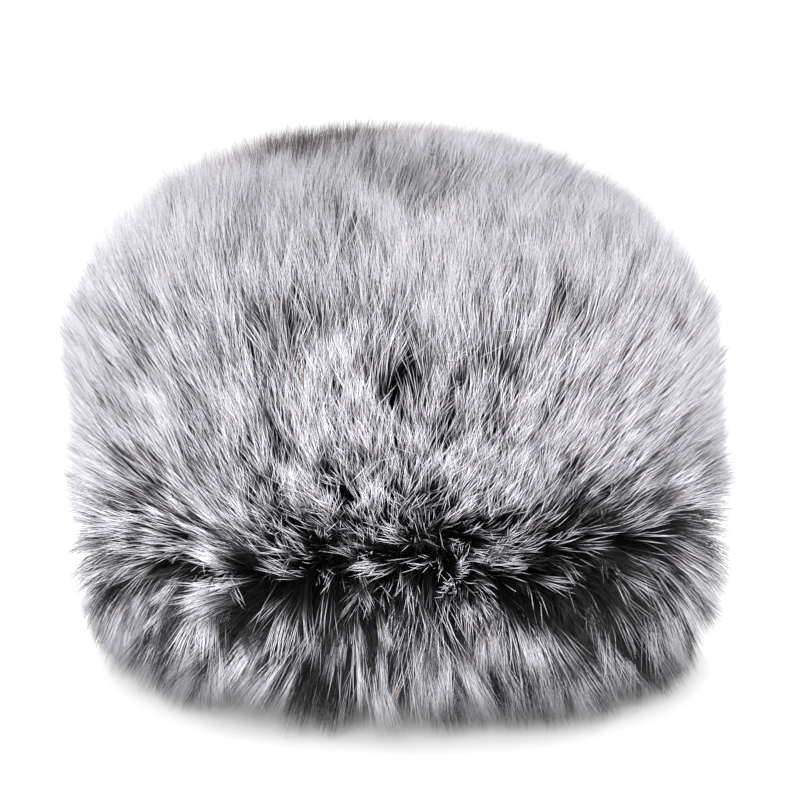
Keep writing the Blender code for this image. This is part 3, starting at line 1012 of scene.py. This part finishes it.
def add_elastic():
    """The ribbed elastic in the hem, and its two ends lapped and tacked together at the back."""
    low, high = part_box("elastic_band")
    joint_low, joint_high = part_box("elastic_join")
    middle = (joint_high.y + CAVITY_RADIUS) / 2
    material = pattern_material("elastic", ELASTIC, *ELASTIC_REPEATS)
    half_join = math.asin(joint_high.x / joint_high.y)
    gap = half_join + 2 * LAYER_GAP / CAVITY_RADIUS

    def band(angles):
        thickness = high.x - CAVITY_RADIUS - ELASTIC_SLACK
        radius, height = ribbed_section(low.z, high.z, middle, thickness)
        crimp = 1 + 0.0012 * np.sin(210 * angles)
        return radius * crimp, height * np.ones_like(angles)

    mesh = turned("ribbed_elastic", band, math.pi / 2 + gap, 5 * math.pi / 2 - gap, 720)
    add_piece("ribbed_elastic", mesh, material, "elastic", "elastic_band")
    for number, side in (("inner", -1), ("outer", 1)):
        place = middle + side * ELASTIC_END_OFFSET

        def end(angles, place=place):
            radius, height = ribbed_section(joint_low.z, joint_high.z, place, ELASTIC_END_THICKNESS)
            return radius * np.ones_like(angles), height * np.ones_like(angles)

        name = f"elastic_{number}_end"
        mesh = turned(name, end, math.pi / 2 - half_join, math.pi / 2 + half_join, 24)
        add_piece(name, mesh, material, "elastic", "elastic_join")


def thread_material():
    """Black polyester sewing thread with the twist of its plies."""
    material, nodes, links, shader = new_material("thread", 0.45)
    put(shader, "Specular IOR Level", 0.5)
    uv = nodes.new("ShaderNodeUVMap")
    uv.uv_map = UV_NAME
    twist = nodes.new("ShaderNodeTexWave")
    twist.bands_direction = "DIAGONAL"
    put(twist, "Scale", 3.0)
    links.new(uv.outputs[0], twist.inputs["Vector"])
    colour = add_ramp(nodes, links, twist.outputs["Fac"], THREAD_COLOURS)
    links.new(colour, shader.inputs["Base Color"])
    return material


def add_row(name, node, starts, ends, lifts, material):
    """A row of single stitches, each an arched round thread that dips into the cloth at both ends."""
    t = np.linspace(0, 1, 8)
    arch = (np.sin(math.pi * t) ** 0.6 - 0.35)[None, :, None] * THREAD_RADIUS * 1.6
    straight = starts[:, None] * (1 - t)[None, :, None] + ends[:, None] * t[None, :, None]
    middle = straight + lifts[:, None] * arch
    along = unit(np.gradient(middle, axis=1))
    side = unit(np.cross(along, lifts[:, None]))
    up = np.cross(side, along)
    turn = np.arange(8) * math.pi / 4
    radius = THREAD_RADIUS * np.sqrt(np.clip(t * (1 - t) * 14, 0.08, 1))
    ring = np.cos(turn)[:, None] * side[:, :, None] + np.sin(turn)[:, None] * up[:, :, None]
    points = middle[:, :, None] + ring * radius[None, :, None, None]
    count = len(starts)
    block = points.reshape(count, 64, 3)
    quads = [
        (8 * k + j, 8 * k + (j + 1) % 8, 8 * k + 8 + (j + 1) % 8, 8 * k + 8 + j)
        for k in range(7) for j in range(8)
    ]
    faces, uv = [], []
    for stitch in range(count):
        base = 64 * stitch
        faces += [tuple(base + corner for corner in quad) for quad in quads]
        faces += [tuple(base + j for j in reversed(range(8))), tuple(base + 56 + j for j in range(8))]
    for k in range(7):
        for j in range(8):
            left, right, low, high = j / 8, (j + 1) / 8, k / 7, (k + 1) / 7
            uv += [(left, low), (right, low), (right, high), (left, high)]
    uv += [(j / 8, 0.0) for j in reversed(range(8))] + [(j / 8, 1.0) for j in range(8)]
    mesh = bpy.data.meshes.new(name)
    mesh.from_pydata(block.reshape(-1, 3).tolist(), [], faces)
    add_uv(mesh, np.tile(np.array(uv), (count, 1)), 0.002)
    mesh.shade_smooth()
    add_piece(name, mesh, material, "sewing_thread", node)


def surface_frame(dome, up, turn):
    """Point, outward normal, upward line and sideways line of a layer, at places up and round it."""
    radius, height, tilt = dome.section(up)
    out = outwards(turn)
    vertical = np.array([0.0, 0.0, 1.0])
    point = out * radius[:, None] + vertical * height[:, None]
    normal = out * np.cos(tilt)[:, None] + vertical * np.sin(tilt)[:, None]
    climb = -out * np.sin(tilt)[:, None] + vertical * np.cos(tilt)[:, None]
    sideways = np.stack([-np.sin(turn), np.cos(turn), 0 * turn], -1)
    return point, normal, climb, sideways


def zigzag(name, line, across, normal, material, node):
    """Stitches that cross a seam from one panel's edge to the other's and back, along its line."""
    side = np.where(np.arange(len(line)) % 2, 1.0, -1.0)[:, None]
    places = line + across * side * SEAM_GROOVE
    add_row(name, node, places[:-1], places[1:], normal[:-1], material)


def running(name, line, normal, material, node):
    """A row of lockstitches, each a little shorter than its pitch."""
    after = np.roll(line, -1, axis=0)
    gap = (after - line) * 0.12
    add_row(name, node, line + gap, after - gap, normal, material)


def add_stitches():
    """Every seam's stitches, and the elastic's tacking, in place of the CAD's plain threads."""
    material = thread_material()
    backing, lining = wall(BACKING_MIDDLE + BACKING_THICKNESS / 2), wall(0.0)
    for name, node, dome, side in (
        ("crown_seam_stitches", "crown_seam_thread", backing, 1.0),
        ("lining_crown_stitches", "lining_crown_seam_thread", lining, -1.0),
    ):
        seam = seam_place(dome)
        count = 2 * round(math.pi * dome.section(seam)[0] / ZIGZAG_PITCH)
        turn = np.arange(count + 1) / count * 2 * math.pi
        point, normal, climb, _ = surface_frame(dome, np.full(count + 1, seam), turn)
        zigzag(name, point, climb, side * normal, material, node)
    for name, node, dome, side, turn in (
        ("right_seam_stitches", "right_seam_thread", backing, 1.0, 0.0),
        ("left_seam_stitches", "left_seam_thread", backing, 1.0, math.pi),
        ("lining_seam_stitches", "lining_seam_thread", lining, -1.0, math.pi / 2),
    ):
        up = np.arange(HEM_CLEARANCE, seam_place(dome) - ZIGZAG_PITCH, ZIGZAG_PITCH)
        point, normal, _, sideways = surface_frame(dome, up, np.full(len(up), turn))
        zigzag(name, point, sideways, side * normal, material, node)
    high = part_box("hem_binding")[1].x
    low = CAVITY_RADIUS - LAYER_GAP - BINDING_THICKNESS
    for name, node, radius, side in (
        ("hem_needle_stitches", "hem_needle_thread", high, 1.0),
        ("hem_bobbin_stitches", "hem_bobbin_thread", low, -1.0),
    ):
        count = round(2 * math.pi * radius / HEM_STITCH_PITCH)
        out = outwards(np.arange(count) / count * 2 * math.pi)
        running(name, out * radius + np.array([0.0, 0.0, STITCH_HEIGHT]), side * out, material, node)
    joint_low, joint_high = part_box("elastic_join")
    rows = np.linspace(joint_low.z + MM, joint_high.z - MM, 9)
    columns = np.where(np.arange(9) % 2, 1.0, -1.0) * joint_high.x * 0.6
    line = np.stack([columns, np.full(9, joint_high.y), rows], 1)
    lift = np.tile([0.0, 1.0, 0.0], (8, 1))
    add_row("elastic_tack_stitches", "elastic_join", line[:-1], line[1:], lift, material)


add_camera()
add_studio()
add_backing()
add_lining()
add_binding()
add_elastic()
add_stitches()
add_fur()
